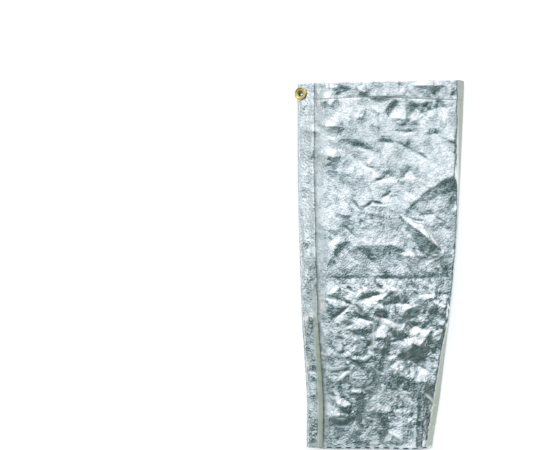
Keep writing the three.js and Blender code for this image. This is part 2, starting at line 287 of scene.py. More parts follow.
# y, left edge, right edge, height of the crown, then the right side: how steep its wall is in
# degrees, the height of the wall's upper edge, and the slope of the layer beside it in degrees
SECTIONS = np.array([
    (-225.0, -90.0, 64.3, 19.0, 50.0, 17.5, 3.0),
    (-166.0, -89.4, 74.1, 20.0, 50.0, 17.5, 3.5),
    (-99.0, -93.7, 82.0, 21.3, 64.0, 20.0, 3.0),
    (-68.0, -96.1, 86.3, 22.5, 80.0, 21.4, 2.0),
    (17.0, -98.9, 94.9, 23.0, 80.0, 21.2, 8.0),
    (103.0, -101.0, 99.2, 22.4, 74.0, 20.9, 16.0),
    (170.0, -101.0, 102.0, 22.4, 62.0, 21.2, 9.0),
    (225.0, -101.0, 104.3, 22.0, 53.0, 21.0, 3.0),
])


def section(y):
    """The table's columns at y, straight between its rows and rounded a little by averaging them
    over 24 mm. The angles come in radians."""
    spread = np.linspace(-12.0, 12.0, 7)
    stations = np.clip(np.asarray(y)[..., None] + spread, WRIST_Y, ARM_Y)
    left, right, crown, wall, edge, slope = [
        np.interp(stations, SECTIONS[:, 0], column).mean(axis=-1) for column in SECTIONS[:, 1:].T
    ]
    return left, right, crown, np.radians(wall), edge, np.radians(slope)


def smooth_step(value, start, stop):
    """0 before start, 1 after stop, and 3t^2 - 2t^3 between them."""
    t = np.clip((value - start) / (stop - start), 0.0, 1.0)
    return t * t * (3.0 - 2.0 * t)


def soft_minimum(lines, rounding):
    """The lowest of several heights, with the corners between them rounded."""
    return -rounding * np.log(sum(np.exp(-line / rounding) for line in lines))


def upper_span(y, inset=0.0):
    """x where the right wall leaves its fold and where the upper layer ends at the left fold."""
    left, right, _, wall, _, _ = section(y)
    start = right - SIDE_FOLD + (SIDE_FOLD - inset) * np.sin(wall)
    stop = left + LEFT_FOLD - (LEFT_FOLD - inset) * math.sin(LEFT_SLOPE)
    return start, stop


def side_crease(y):
    """x of the crease where the right wall meets the upper layer."""
    _, _, _, wall, edge, _ = section(y)
    foot = SIDE_FOLD * (1.0 + np.cos(wall))
    return upper_span(y)[0] - (edge - foot) / np.tan(wall)


def smooth_height(x, y, inset=0.0):
    """Soft minimum of the left slope, the crown and the slope beside the right edge, and then a
    sharper one with the right wall."""
    _, _, crown, wall, edge, slope = section(y)
    start, stop = upper_span(y, inset)
    left_foot = LEFT_FOLD + (LEFT_FOLD - inset) * math.cos(LEFT_SLOPE)
    left_line = left_foot + math.tan(LEFT_SLOPE) * (x - stop)
    right_line = edge - inset + np.tan(slope) * (side_crease(y) - x)
    wall_line = SIDE_FOLD + (SIDE_FOLD - inset) * np.cos(wall) + np.tan(wall) * (start - x)
    layer = soft_minimum((left_line, crown - inset, right_line), CROWN_ROUNDING)
    return soft_minimum((layer, wall_line), SIDE_ROUNDING)


for end, end_y in (("arm", ARM_Y), ("wrist", WRIST_Y)):
    print("edges at the", end, "in mm:", np.round(section(end_y)[:2], 1).tolist())

# %% [markdown]
# ## The folds that the light shows
# Foil-faced cloth doesn't drape in soft curves. It breaks into flat facets that meet in creases,
# so each fold is a small roof: a slope on both sides of a ridge line, of two different widths,
# and dying away at its ends. A negative rise makes a valley. The main folds are placed where
# the photograph shows a bright facet beside a dark one. The camera stands over the middle,
# so at the arm end the cloth mirrors more of the white panel, and folds there have to be steeper.

# %% Main folds
# x and y at both ends of the fold line, its width above and below, which are the left and right of
# the way from the first end to the second, and its rise
CASING_FOLDS = [
    (-66, 199, -32, 216, 13, 34, -1.3),
    (-22, 203, 24, 203, 22, 6, 1.2),
    (-30, 217, -12, 203, 18, 11, 1.2),
    (34, 220, 80, 219, 8, 18, 2.2),
    (24, 204, 24, 228, 4, 6, -0.6),
    (83, 203, 98, 206, 6, 10, -0.8),
    (-76, 205, -71, 223, 6, 8, -0.7),
]
UPPER_FOLDS = [
    (-80, 199, -62, 198, 12, 12, 1.3),
    (-80, 204, -44, 198, 12, 30, 1.5),
    (-34, 181, -14, 175, 14, 9, 0.9),
    (-78, 171, -38, 166, 24, 13, 1.5),
    (-60, 149, 0, 136, 11, 40, -1.1),
    (-4, 149, 20, 149, 10, 14, -1.0),
    (14, 151, 62, 125, 11, 26, -1.0),
    (14, 179, 40, 177, 16, 12, 1.2),
    (8, 163, 52, 162, 3, 6, -0.4),
    (33, 177, 49, 198, 13, 30, -1.4),
    (46, 196, 68, 183, 12, 18, -1.4),
    (60, 189, 86, 190, 13, 20, -1.3),
    (8, 176, 25, 201, 9, 10, -1.1),
    (52, 157, 80, 160, 9, 18, -0.9),
    (67, 159, 100, 139, 4, 8, -0.35),
    (-44, 138, -6, 112, 12, 30, -1.1),
    (-26, 122, 4, 112, 9, 20, -0.8),
    (4, 116, 19, 101, 9, 12, -0.7),
    (25, 103, 43, 122, 10, 12, -1.2),
    (-78, 134, -42, 130, 12, 22, 1.4),
    (-79, 106, -79, 141, 10, 12, -1.0),
    (-68, 114, -12, 107, 24, 18, 0.9),
    (-10, 98, 9, 106, 4, 8, -0.5),
    (1, 81, 17, 92, 4, 8, -0.35),
    (72, 150, 102, 150, 30, 10, 0.8),
    (84, 84, 96, 62, 8, 10, -0.9),
]
MIDDLE_FOLDS = [
    (-24, 66, -6, 76, 5, 12, -0.5),
    (-12, 75, 10, 74, 4, 12, -0.45),
    (-39, 82, -24, 64, 4, 8, -0.5),
    (-52, 61, -32, 61, 10, 6, 0.5),
    (-22, 62, 10, 60, 12, 8, 0.7),
    (24, 54, 44, 88, 22, 16, 1.2),
    (22, 61, 58, 53, 9, 4, 0.7),
    (46, 59, 72, 62, 10, 10, -1.1),
    (64, 51, 96, 38, 5, 10, -0.6),
    (-32, 22, 16, 25, 32, 22, 1.4),
    (-8, 25, 26, 23, 24, 16, 1.1),
    (-62, 24, -34, 29, 34, 10, 1.5),
    (22, 60, 76, 18, 8, 24, 2.2),
    (-64, -4, -62, 70, 14, 24, 1.3),
    (-34, 72, 14, 72, 22, 14, 1.2),
    (-26, 20, 0, -10, 11, 10, -1.1),
    (8, 27, 34, 14, 16, 13, 0.8),
    (-70, -9, -47, 36, 16, 12, 1.6),
    (-51, 49, -37, 39, 3, 6, -0.5),
    (-40, 41, -24, 29, 3, 6, -0.5),
    (-28, 55, -17, 46, 3, 6, -0.5),
    (54, -1, 82, 18, 10, 9, 0.8),
    (-100, -16.5, 108, -15.5, 5, 22, -0.6),
    (-4, -17, 22, -15, 9, 12, -0.9),
    (10, -17, 112, -15, 16, 14, -0.4),
    (18, 12, 60, 10, 8, 15, 1.3),
]
LOWER_FOLDS = [
    (-78, -38, -29, -49, 8, 9, -2.0),
    (-32, -46, 6, -35, 8, 9, -2.1),
    (-42, -25, -33, -32.5, 3, 5, -0.6),
    (-5.5, -22, 3.5, -34, 3, 5, -0.6),
    (-60, -75, -38, -50, 4, 8, -0.5),
    (-33, -47, -14, -68, 10, 6, 1.0),
    (-80, -38, -41, -52, 30, 14, 1.6),
    (5, -48, 44, -48, 11, 11, -2.1),
    (-13, -52, 11, -56, 14, 12, 1.4),
    (-13, -59, 24, -73, 10, 11, -2.0),
    (35, -51, 48, -66, 14, 7, 0.6),
    (43, -60, 57, -79, 14, 8, 1.2),
    (60, -36, 96, -37, 6, 13, -0.7),
    (60, -72, 106, -74, 40, 14, 3.0),
    (36, -52, 104, -52, 38, 28, 2.6),
    (-64, -80, -64, -16, 14, 20, 1.4),
    (6, -97, 50, -96, 10, 20, 1.4),
    (-18, -100, 14, -104, 30, 40, 2.4),
    (0, -77, 44, -80, 36, 12, 2.0),
    (22, -82, 50, -71, 8, 11, -2.0),
    (14, -85, 34, -83, 12, 16, 1.4),
    (25, -107, 40, -91, 6, 10, 0.9),
    (-16, -87, 20, -89, 14, 30, 3.0),
    (-14.5, -117, -7, -65, 8, 4, -0.9),
    (-34, -62, -8, -70, 10, 10, -1.9),
    (-34, -78, -10, -80, 16, 9, 1.2),
    (-68, -114, -54, -102, 8, 8, 1.0),
    (-58, -103, -41, -103, 10, 8, 1.0),
    (-46, -99, -24, -109, 12, 12, 1.4),
    (60, -80, 88, -82, 10, 14, 1.0),
]
WRIST_FOLDS = [
    (-66, -128, -34, -122, 8, 8, 1.0),
    (8, -100, 76, -141, 44, 19, -3.0),
    (10, -127, 38, -129, 12, 64, 2.3),
    (22, -134, 50, -136, 12, 64, 2.3),
    (36, -141, 64, -143, 12, 64, 2.3),
    (-62, -151, -33, -128, 10, 10, 1.2),
    (-38, -155, -15, -156, 6, 12, 1.3),
    (-61, -163, -33, -181, 9, 10, 1.9),
    (-50, -159, -34, -172, 6, 7, -0.8),
    (51, -262, 51, -140, 7, 9, 1.4),
    (0, -227, 68, -227, 88, 6, 7.0),
    (-84, -182, -32, -184, 24, 34, 3.2),
    (-22, -178, 32, -178, 40, 30, 2.8),
    (4, -198, 34, -218, 9, 24, 1.2),
    (-18, -226, 10, -226, 14, 4, 1.4),
    (53, -158, 65, -167, 4, 4, 0.8),
    (54, -180, 66, -169, 4, 4, 0.8),
]
LAP_FOLDS = [
    (-104, 197, -86, 195, 14, 16, 1.7),
    (-98, 166, -70, 160, 18, 13, 1.8),
    (-102, 95, -82, 93, 14, 10, 1.2),
    (-100, 34, -80, 26, 16, 20, 1.7),
    (-98, -12, -78, -24, 12, 10, 0.8),
    (-97, -66, -74, -67, 16, 24, 2.9),
    (-94, -118, -74, -128, 10, 8, 1.3),
    (-93, -132, -74, -142, 10, 10, 1.3),
    (-92, -157, -74, -158, 14, 10, 1.8),
    (-92, -213, -76, -214, 20, 8, 1.7),
]
ARM_STEEPER = 1.3

ARM_FOLDS = np.array(CASING_FOLDS + UPPER_FOLDS)
ARM_FOLDS[:, 6] *= ARM_STEEPER
MAIN_FOLDS = np.vstack([ARM_FOLDS, MIDDLE_FOLDS, LOWER_FOLDS, WRIST_FOLDS, LAP_FOLDS])
print(len(MAIN_FOLDS), "main folds")

# %% [markdown]
# ## Roofs and tents
# The heights of all the folds are added up, so one fold can cross another. A sum of roofs has no
# facet with straight borders all round, so three large facets are tents: a plane rises from each
# edge of a polygon, and the lowest of the planes counts. Small seeded tents fill in the rest.

# %% Roofs and tents
# corners of the tents, against the clock, and the slope of the facet that rises from each edge
TENTS = [
    ([(33, 70), (99, 92), (99, 172), (56, 128)], (0.18, 0.3, 0.09, 0.1)),
    ([(20, 62), (34, 39), (55, 6), (77, 16), (53, 50)], (0.16, 0.16, 0.2, 0.7, 0.7)),
    ([(16, -117), (53, -119), (63, -78), (30, -74)], (0.2, 0.4, 0.2, 0.4)),
]

# the level share of a ridge, how fast it falls beyond that, and how its slopes fade out
RIDGE_LEVEL = 0.26
RIDGE_FALL = 1.35
SLOPE_POWER = 1.5


def on_line(x, y, from_x, from_y, to_x, to_y):
    """Place along a line, -1 at its start and 1 at its end, and the distance to its left."""
    length = math.hypot(to_x - from_x, to_y - from_y)
    c, s = (to_x - from_x) / length, (to_y - from_y) / length
    along = 2.0 * ((x - from_x) * c + (y - from_y) * s) / length - 1.0
    return along, (y - from_y) * c - (x - from_x) * s


def roofs(x, y, table):
    """Sum of the roofs. Each is 1 at its ridge, less the share of its width gone across, less the
    share of its length gone along beyond a level stretch, so its ends are pointed. The power makes
    its slopes steepest at the ridge and lets them fade out, and the rise scales it."""
    height = np.zeros_like(x)
    for *ends, above, below, rise in table:
        along, across = on_line(x, y, *ends)
        fall = np.where(across > 0.0, across / above, -across / below)
        beyond = RIDGE_FALL * np.clip(np.abs(along) - RIDGE_LEVEL, 0.0, None)
        height += rise * np.clip(1.0 - fall - beyond, 0.0, 1.0) ** SLOPE_POWER
    return height


def seeded_tents(count, seed, reach, y_range, slopes):
    """Three-cornered tents at random, each with corners about a third of a turn apart."""
    rng = np.random.default_rng(seed)
    third = 2.1
    made = []
    for _ in range(count):
        middle = rng.uniform((-80.0, y_range[0]), (80.0, y_range[1]))
        turn = rng.uniform(0.0, third) + third * np.arange(3) + rng.uniform(-0.6, 0.6, 3)
        far = rng.uniform(*reach, 3)
        corners = np.column_stack([middle[0] + far * np.cos(turn), middle[1] + far * np.sin(turn)])
        made.append(([tuple(corner) for corner in corners], rng.uniform(*slopes, 3)))
    return made


LOWER_TENTS = seeded_tents(46, 15, reach=(9.0, 20.0), y_range=(-130.0, -34.0), slopes=(0.06, 0.2))
UPPER_TENTS = seeded_tents(30, 16, reach=(9.0, 24.0), y_range=(0.0, 220.0), slopes=(0.04, 0.1))


def tents(x, y):
    """Sum of the tents. Over its corners each one rises from every edge by that edge's slope, and
    the lowest of these planes counts, so flat facets with straight borders are left."""
    height = np.zeros_like(x)
    for corners, slopes in TENTS + LOWER_TENTS + UPPER_TENTS:
        planes = []
        next_corners = corners[1:] + corners[:1]
        for (from_x, from_y), (to_x, to_y), slope in zip(corners, next_corners, slopes):
            length = math.hypot(to_x - from_x, to_y - from_y)
            inward = (y - from_y) * (to_x - from_x) - (x - from_x) * (to_y - from_y)
            planes.append(slope * inward / length)
        height += np.clip(np.minimum.reduce(planes), 0.0, None)
    return height


print(len(TENTS), "large tents and", len(LOWER_TENTS + UPPER_TENTS), "small ones")

# %% [markdown]
# ## The fine crumple
# Between the main folds the foil is broken into smaller facets everywhere. Random heights on a
# lattice of triangles, joined by flat triangles, give exactly such facets, and five lattices of
# different sizes and turns hide each other's order. Short seeded folds add the crisp lines that
# cross them. The lower half of the sleeve has been handled more, so its crumple is stronger.

# %% Facets
# the lattice repeats after this many points
LATTICE = 97


def facets(x, y, size, turn, seed):
    """Heights from -1 to 1 on a lattice of equal triangles of the given size, turned, with flat
    triangles between the lattice points."""
    heights = np.random.default_rng(seed).uniform(-1.0, 1.0, (LATTICE, LATTICE))
    c, s = math.cos(math.radians(turn)), math.sin(math.radians(turn))
    v = (y * c - x * s) / (size * math.sqrt(0.75))
    u = (x * c + y * s) / size - v / 2
    i, j = np.floor(u).astype(int), np.floor(v).astype(int)
    fu, fv = u - i, v - j
    far = fu + fv > 1.0
    i_near, i_far = (i + far) % LATTICE, (i + 1 - far) % LATTICE
    j_near, j_far = (j + far) % LATTICE, (j + 1 - far) % LATTICE
    first = heights[i_near, j_near] * np.abs(1.0 - fu - fv)
    second = heights[i_far, j_near] * np.where(far, 1.0 - fu, fu)
    third = heights[i_near, j_far] * np.where(far, 1.0 - fv, fv)
    return first + second + third


def seeded_ends(rng, count, x_range, y_range, turns, lengths):
    """Both ends of lines with places, turns and lengths at random, as four columns."""
    x, y = rng.uniform(*x_range, count), rng.uniform(*y_range, count)
    turn, half = rng.uniform(*turns, count), rng.uniform(*lengths, count) / 2
    reach_x, reach_y = half * np.cos(turn), half * np.sin(turn)
    return x - reach_x, y - reach_y, x + reach_x, y + reach_y


def seeded_folds(count, seed, lengths, widths, rises):
    """Rows for roofs(): folds at random over the whole upper layer, about half of them hollow."""
    rng = np.random.default_rng(seed)
    turns = (-math.pi / 2, math.pi / 2)
    ends = seeded_ends(rng, count, (-100.0, 100.0), (-222.0, 222.0), turns, lengths)
    above, below = rng.uniform(*widths, count), rng.uniform(*widths, count)
    rise = rng.uniform(*rises, count) * rng.choice([-1.0, 1.0], count)
    return np.column_stack([*ends, above, below, rise])


MEDIUM_FOLDS = seeded_folds(90, 11, lengths=(12.0, 34.0), widths=(4.0, 10.0), rises=(0.15, 0.4))
SMALL_FOLDS = seeded_folds(420, 12, lengths=(7.0, 24.0), widths=(1.8, 4.2), rises=(0.1, 0.3))
print(len(MEDIUM_FOLDS) + len(SMALL_FOLDS), "seeded folds")

# %% Crumple
# height in mm, size of the triangles in mm, turn in degrees and seed
BEND_ACROSS = [(2.8, 23.0, 40.0, 7), (1.2, 9.0, 5.0, 8)]
BEND_ALONG = [(2.8, 23.0, 70.0, 9), (1.2, 9.0, 25.0, 10)]
LARGE_FACETS = [(1.1, 47.0, 28.0, 13), (0.45, 25.0, 17.0, 3)]
MIDDLE_FACETS = [(0.19, 14.0, 52.0, 4)]
SMALL_FACETS = [(0.16, 7.0, 81.0, 5), (0.13, 3.6, 33.0, 6)]


def lattices(x, y, rows):
    """Sum of the lattices of facets in the rows."""
    return sum(height * facets(x, y, size, turn, seed) for height, size, turn, seed in rows)


def bent(x, y):
    """The lines of the folds aren't ruled: each point is moved by up to 4 mm, by flat steps, so a
    straight crease becomes a line of short straight pieces."""
    return x + lattices(x, y, BEND_ACROSS), y + lattices(x, y, BEND_ALONG)


def handled(y, least):
    """How strongly the cloth is crumpled: the least share towards the arm, 1 below the middle and
    0.6 near the wrist."""
    return 1.0 - (1.0 - least) * smooth_step(y, -50.0, 40.0) - 0.4 * smooth_step(-y, 105.0, 140.0)


def fine_crumple(x, y):
    """Five lattices of facets and the seeded folds. The large facets are as strong everywhere, and
    the rest follows how much the cloth was handled."""
    bent_x, bent_y = bent(x, y)
    large = lattices(bent_x, bent_y, LARGE_FACETS)
    middle = lattices(bent_x, bent_y, MIDDLE_FACETS)
    small = lattices(bent_x, bent_y, SMALL_FACETS)
    lines = roofs(bent_x, bent_y, MEDIUM_FOLDS) + roofs(bent_x, bent_y, SMALL_FOLDS)
    return large + handled(y, 0.4) * middle + handled(y, 0.35) * (small + lines)


print("lattices:", len(LARGE_FACETS + MIDDLE_FACETS + SMALL_FACETS))

# %% [markdown]
# ## Stitch lines and creases
# The casing's stitch line draws the cloth in and bows a little across the sleeve. Along some hard
# creases shade is painted into the foil as thin dark lines, and along other sharp edges a painted
# highlight is laid as thin light lines. Stitch lines and hard creases are narrow dips and the
# highlighted edges are narrow ridges, all with soft ends, and their strength is kept as attributes
# of the mesh, so the material can paint the shade and the highlights there.

# %% Stitch lines and creases
CASING_STITCH = ARM_Y - CASING_DEPTH
WRIST_STITCH = WRIST_Y + WRIST_HEM_DEPTH

# x and y at both ends of a hard crease, its depth and the half width of its middle
# the crease attribute also paints shade into the foil along these creases
CREASES = [
    (27, 160, 41, 163, 0.5, 0.9),
    (16, 153, 40, 141, 0.4, 0.9),
    (-6, 99, 8, 105, 0.6, 0.9),
    (2, 81, 17, 92, 0.6, 0.9),
    (-21, 68, -10, 76, 0.8, 1.1),
    (-12, 76, 8, 75, 0.9, 1.4),
    (-36, 82, -26, 64, 0.5, 1.2),
    (-48, 50, -33, 36, 0.4, 1.1),
    (-60, -72, -34, -46, 1.0, 1.5),
    (-38, -26, -31, -33, 0.9, 1.3),
    (-5, -23, 2, -32, 0.9, 1.3),
    (-7, -59, 4, -67, 1.1, 1.7),
    (-32, -46, -18, -62, 1.1, 2.0),
    (-11, -84, -12, -106, 0.8, 1.3),
    (38, 20, 48, 2, 0.6, 1.4),
    (54, 2, 78, 13, 0.9, 1.5),
    (66, 60, 78, 52, 0.6, 1.4),
    (30, -68, 44, -63, 0.7, 1.2),
    (-42, -77, -30, -70, 0.7, 1.2),
    (22, -146, 34, -156, 0.6, 1.2),
]
# the same for sharp edges that carry a painted highlight
HIGHLIGHT_EDGES = [
    (-9, -66, -13, -104, 0.9, 0.9), (-8, -67, 20, -75, 0.8, 1.0), (-46, -91, -32, -83, 0.7, 0.8),
    (-33, -83, -20, -100, 0.7, 0.8), (-62, -109, -46, -107, 0.8, 0.9), (12, -46, 8, -63, 0.7, 0.8),
    (26, -107, 39, -91, 0.9, 0.9), (-22, -121, -4, -105, 0.8, 0.8), (-64, -130, -34, -122, 0.9, 0.9),
    (-56, -143, -31, -129, 0.9, 0.9), (-35, -123, -33, -147, 0.6, 0.8), (-16, -119, 12, -141, 0.4, 0.9),
    (10, -140, 32, -161, 0.4, 0.9), (-9, -133, -2, -151, 0.3, 0.8), (52, -157, 65, -168, 1.0, 0.9),
    (65, -167, 54, -181, 1.0, 0.9), (-66, -155, -50, -168, 0.8, 0.9), (-60, -186, -40, -187, 0.7, 0.9),
    (-20, -186, -4, -187, 0.7, 0.9), (-14, -217, 6, -216, 0.9, 1.0), (6, -217, 11, -202, 0.9, 1.0),
    (11, -202, 30, -217, 0.9, 1.0), (-70, -38, -40, -50, 0.6, 1.0), (-27, -66, -12, -77, 0.7, 1.0),
    (-2, -70, 6, -88, 0.7, 0.8), (20, -52, 30, -40, 0.6, 0.8), (-44, -64, -52, -80, 0.6, 0.8),
    (-60, -86, -44, -84, 0.6, 0.8),
]


def seeded_lines(count, seed):
    """Rows for crease_lines(): short lines of painted highlight at random over the lower half."""
    rng = np.random.default_rng(seed)
    ends = seeded_ends(rng, count, (-72.0, 66.0), (-216.0, -30.0), (0.0, math.pi), (8.0, 22.0))
    strength, wide = rng.uniform(0.3, 0.7, count), rng.uniform(0.4, 0.8, count)
    return np.column_stack([*ends, strength, wide])


HIGHLIGHT_LINES = np.vstack([HIGHLIGHT_EDGES, seeded_lines(70, 14)])
print(len(CREASES), "hard creases,", len(HIGHLIGHT_LINES), "rubbed lines")

# %% Lines on the cloth
CASING_BOW = 3.6


def casing_line(x):
    """y of the casing's stitches: a bell curve that rises in the middle of the sleeve."""
    return CASING_STITCH - 1.6 + CASING_BOW * np.exp(-(((x + 8.0) / 52.0) ** 2))


def crease_lines(x, y, table):
    """Strength of narrow lines: each is strongest and widest in its middle and runs out at its
    ends, and it falls off beside its line as a bell curve."""
    bent_x, bent_y = bent(x, y)
    depth = np.zeros_like(x)
    for *ends, deep, wide in table:
        along, apart = on_line(bent_x, bent_y, *ends)
        full = np.clip(1.0 - along**2, 0.0, 1.0)
        depth = np.maximum(depth, deep * full * np.exp(-((apart / (0.3 + wide * full)) ** 2)))
    return depth


def stitch_dips(x, y):
    """Two rounded grooves along the casing line and the wrist hem, deeper in some places."""
    pull = 0.22 + 0.12 * np.sin(x / 7.0) + 0.1 * np.sin(x / 3.1 + 1.0)
    casing = np.exp(-(((y - casing_line(x)) / 1.6) ** 2))
    wrist = np.exp(-(((y - WRIST_STITCH) / 2.2) ** 2))
    return pull * casing + 0.5 * pull * wrist


print("stitch lines at", CASING_STITCH, "and", WRIST_STITCH, "mm")

# %% [markdown]
# ## One closed wall of cloth
# The tube could be a bare surface, but its open ends would then look like paper. Here the wall
# turns over at each end and comes back on the inside, so the grid of points closes on itself in
# both directions, as on a ring. Inside it only the main folds are followed, with fewer rows, and
# a little lower away from the ends, so no fine dent of the face reaches through.

# %% The grid of the wall
FLOOR_POINTS, RIGHT_POINTS, UPPER_POINTS, LEFT_POINTS = 42, 14, 174, 10
OUTER_ROWS, INNER_ROWS, TURN_ROWS = 345, 44, 5
WALL_THICK = 2.2
INNER_DROP = 3.5
GRAIN = 0.05
# height of a highlighted edge's ridge for the strength of its painted highlight
HIGHLIGHT_RIDGE_RISE = 0.35
LAP_WIDTH = 20.8
EYELET_FROM_EDGE = 5.1
EYELET_Y = 210.0

turn_angle = np.linspace(0.0, math.pi, TURN_ROWS + 2)[1:-1]
turn_out = WALL_THICK / 2 * np.sin(turn_angle)
turn_in = WALL_THICK / 2 * (1.0 - np.cos(turn_angle))
first_y, last_y = WRIST_Y + WALL_THICK / 2, ARM_Y - WALL_THICK / 2
row_y = np.concatenate([
    np.linspace(first_y, last_y, OUTER_ROWS),
    last_y + turn_out,
    np.linspace(last_y, first_y, INNER_ROWS),
    first_y - turn_out,
])[:, None]
row_inset = np.concatenate([
    np.zeros(OUTER_ROWS),
    turn_in,
    np.full(INNER_ROWS, WALL_THICK),
    WALL_THICK - turn_in,
])[:, None]


def shares(count):
    """0 to nearly 1 in equal steps, because the next stretch of the loop gives the last point."""
    return np.arange(count)[None, :] / count


def calm(x, y, lap_share, beside_right):
    """A smaller share of the folds under the lap seam, none round the eyelet, and none where the
    right wall turns down."""
    from_left, crease = x - section(y)[0], side_crease(y)
    lap = lap_share + (1.0 - lap_share) * smooth_step(from_left, LAP_WIDTH - 4.0, LAP_WIDTH + 8.0)
    left_edge = smooth_step(from_left, 1.5, 8.0)
    right_edge = 1.0 - smooth_step(x, crease - beside_right, crease + 2.0)
    eyelet_share = smooth_step(np.hypot(from_left - EYELET_FROM_EDGE, y - EYELET_Y), 9.0, 20.0)
    return lap * left_edge * right_edge * eyelet_share


def crumpled(x, y, fine):
    """Height that all the folds add to the smooth upper layer."""
    bent_x, bent_y = bent(x, y)
    half_x, half_y = 0.5 * (x + bent_x), 0.5 * (y + bent_y)
    main = calm(x, y, 0.9, 6.0) * (roofs(half_x, half_y, MAIN_FOLDS) + tents(bent_x, bent_y))
    lines = HIGHLIGHT_RIDGE_RISE * crease_lines(x, y, HIGHLIGHT_LINES) - crease_lines(x, y, CREASES)
    small = calm(x, y, 0.9, 3.0) * (fine_crumple(x, y) + lines)
    return main + fine * small - calm(x, y, 0.6, 1.0) * stitch_dips(x, y)


left, right, _, wall, _, _ = section(row_y)
upper_start, upper_stop = upper_span(row_y, row_inset)
upper_x = upper_start + (upper_stop - upper_start) * shares(UPPER_POINTS)
upper_y = np.broadcast_to(row_y, upper_x.shape)
upper_fine = np.clip(1.0 - row_inset / WALL_THICK, 0.0, 1.0)
grain = np.random.default_rng(21).normal(0.0, GRAIN, upper_x.shape)
grain = upper_fine * grain * calm(upper_x, upper_y, 0.8, 2.0)
below = INNER_DROP * smooth_step(ARM_Y - np.abs(upper_y), 2.0, 30.0) * (1.0 - upper_fine)
upper_z = smooth_height(upper_x, upper_y, row_inset)
upper_z = upper_z + crumpled(upper_x, upper_y, upper_fine) + grain - below
print("upper layer: lowest", round(upper_z.min(), 1), "and highest", round(upper_z.max(), 1), "mm")


# %% The whole loop and its mesh
def arc(centre_x, centre_z, radius, start, stop, count):
    """Points of a circle from one angle to another."""
    angle = start + (stop - start) * shares(count)
    return centre_x + radius * np.cos(angle), centre_z + radius * np.sin(angle)


def skewed(x, y):
    """The arm edge is cut askew: its left corner sits lower than its right one."""
    edge_left, edge_right = section(y)[:2]
    across = (x - edge_left) / (edge_right - edge_left)
    return y - ARM_EDGE_DROP * (1.0 - across) * smooth_step(y, CASING_STITCH, ARM_Y)


def grid_quads(rows, columns, wrap_rows):
    """Quads between neighbouring rows and columns. The last column joins the first, and the last
    row does where wrap_rows says so. A face looks along row direction times column direction."""
    row = np.arange(rows if wrap_rows else rows - 1)[:, None]
    column = np.arange(columns)[None, :]
    next_row, next_column = (row + 1) % rows, (column + 1) % columns
    corners = [(row, column), (next_row, column), (next_row, next_column), (row, next_column)]
    quads = [a * columns + b for a, b in corners]
    return np.stack(np.broadcast_arrays(*quads), axis=-1).reshape(-1, 4)


def new_piece(name, points_mm, faces):
    """A smooth-shaded mesh object from points in millimetres, with its place in its mesh."""
    mesh = bpy.data.meshes.new(name)
    mesh.from_pydata((np.asarray(points_mm).reshape(-1, 3) * MM).tolist(), [], faces)
    mesh.polygons.foreach_set("use_smooth", np.ones(len(mesh.polygons), dtype=bool))
    mesh.update()
    piece = bpy.data.objects.new(name, mesh)
    scene.collection.objects.link(piece)
    return piece


floor_x = left + LEFT_FOLD + (right - SIDE_FOLD - left - LEFT_FOLD) * shares(FLOOR_POINTS)
floor_z = np.broadcast_to(row_inset, floor_x.shape)
right_x, right_z = arc(right - SIDE_FOLD, SIDE_FOLD, SIDE_FOLD - row_inset,
                       -math.pi / 2, math.pi / 2 - wall, RIGHT_POINTS)
left_x, left_z = arc(left + LEFT_FOLD, LEFT_FOLD, LEFT_FOLD - row_inset,
                     math.pi / 2 + LEFT_SLOPE, 1.5 * math.pi, LEFT_POINTS)
loop_x = np.hstack([floor_x, right_x, upper_x, left_x])
loop_z = np.hstack([floor_z, right_z, upper_z, left_z])
loop_y = skewed(loop_x, np.broadcast_to(row_y, loop_x.shape))
rows, columns = loop_x.shape
sleeve_quads = grid_quads(rows, columns, True)
sleeve = new_piece("sleeve_cloth", np.stack([loop_x, loop_y, loop_z], axis=-1), sleeve_quads.tolist())
print("sleeve_cloth:", rows, "rows of", columns, "points,", 2 * len(sleeve_quads), "triangles")

# %% [markdown]
# ## The cloth's own coordinates
# The weave has to follow the cloth round the tube, so the mesh carries its own map: metres round
# the loop and metres along the sleeve. What the foil's material has to know about a place goes
# into three attributes: crease is high where shade is painted, along hard creases, the casing's
# stitches and the lap seam, the second is high on sharp edges that carry a painted highlight, and
# side is 1 on the right wall, where shade is painted into the foil.

# %% Map of the cloth
def add_map(piece, u, v, wrap_rows):
    """Writes a map from two grids of metres that have one column more than the points, so the
    last quad round the loop doesn't run backwards."""
    row = np.arange(u.shape[0] if wrap_rows else u.shape[0] - 1)[:, None]
    column = np.arange(u.shape[1] - 1)[None, :]
    next_row = (row + 1) % u.shape[0]
    corners = [(row, column), (next_row, column), (next_row, column + 1), (row, column + 1)]
    values = np.stack([np.stack([u[a, b], v[a, b]], axis=-1) for a, b in corners], axis=-2)
    layer = piece.data.uv_layers.new(name="cloth")
    flat = np.zeros(2 * len(piece.data.loops))
    flat[: values.size] = values.ravel()
    layer.data.foreach_set("uv", flat)


closed_x = np.hstack([loop_x, loop_x[:, :1]])
closed_z = np.hstack([loop_z, loop_z[:, :1]])
steps = np.hypot(np.diff(closed_x, axis=1), np.diff(closed_z, axis=1))
girth = np.hstack([np.zeros((rows, 1)), np.cumsum(steps, axis=1)])
add_map(sleeve, girth * MM, np.broadcast_to(row_y, girth.shape) * MM, True)
print("girth at arm and wrist:", np.round(girth[[OUTER_ROWS - 1, 0], -1], 1), "mm")


# %% Attributes of the cloth
def write_attribute(piece, name, values):
    """One number for every point of the piece."""
    piece.data.attributes.new(name, "FLOAT", "POINT").data.foreach_set("value", values.ravel())


def whole_loop(upper_values):
    """Values of the upper layer in their place on the loop, and 0 on its other stretches."""
    before, after = FLOOR_POINTS + RIGHT_POINTS, LEFT_POINTS
    return np.pad(upper_values, ((0, 0), (before, after)))
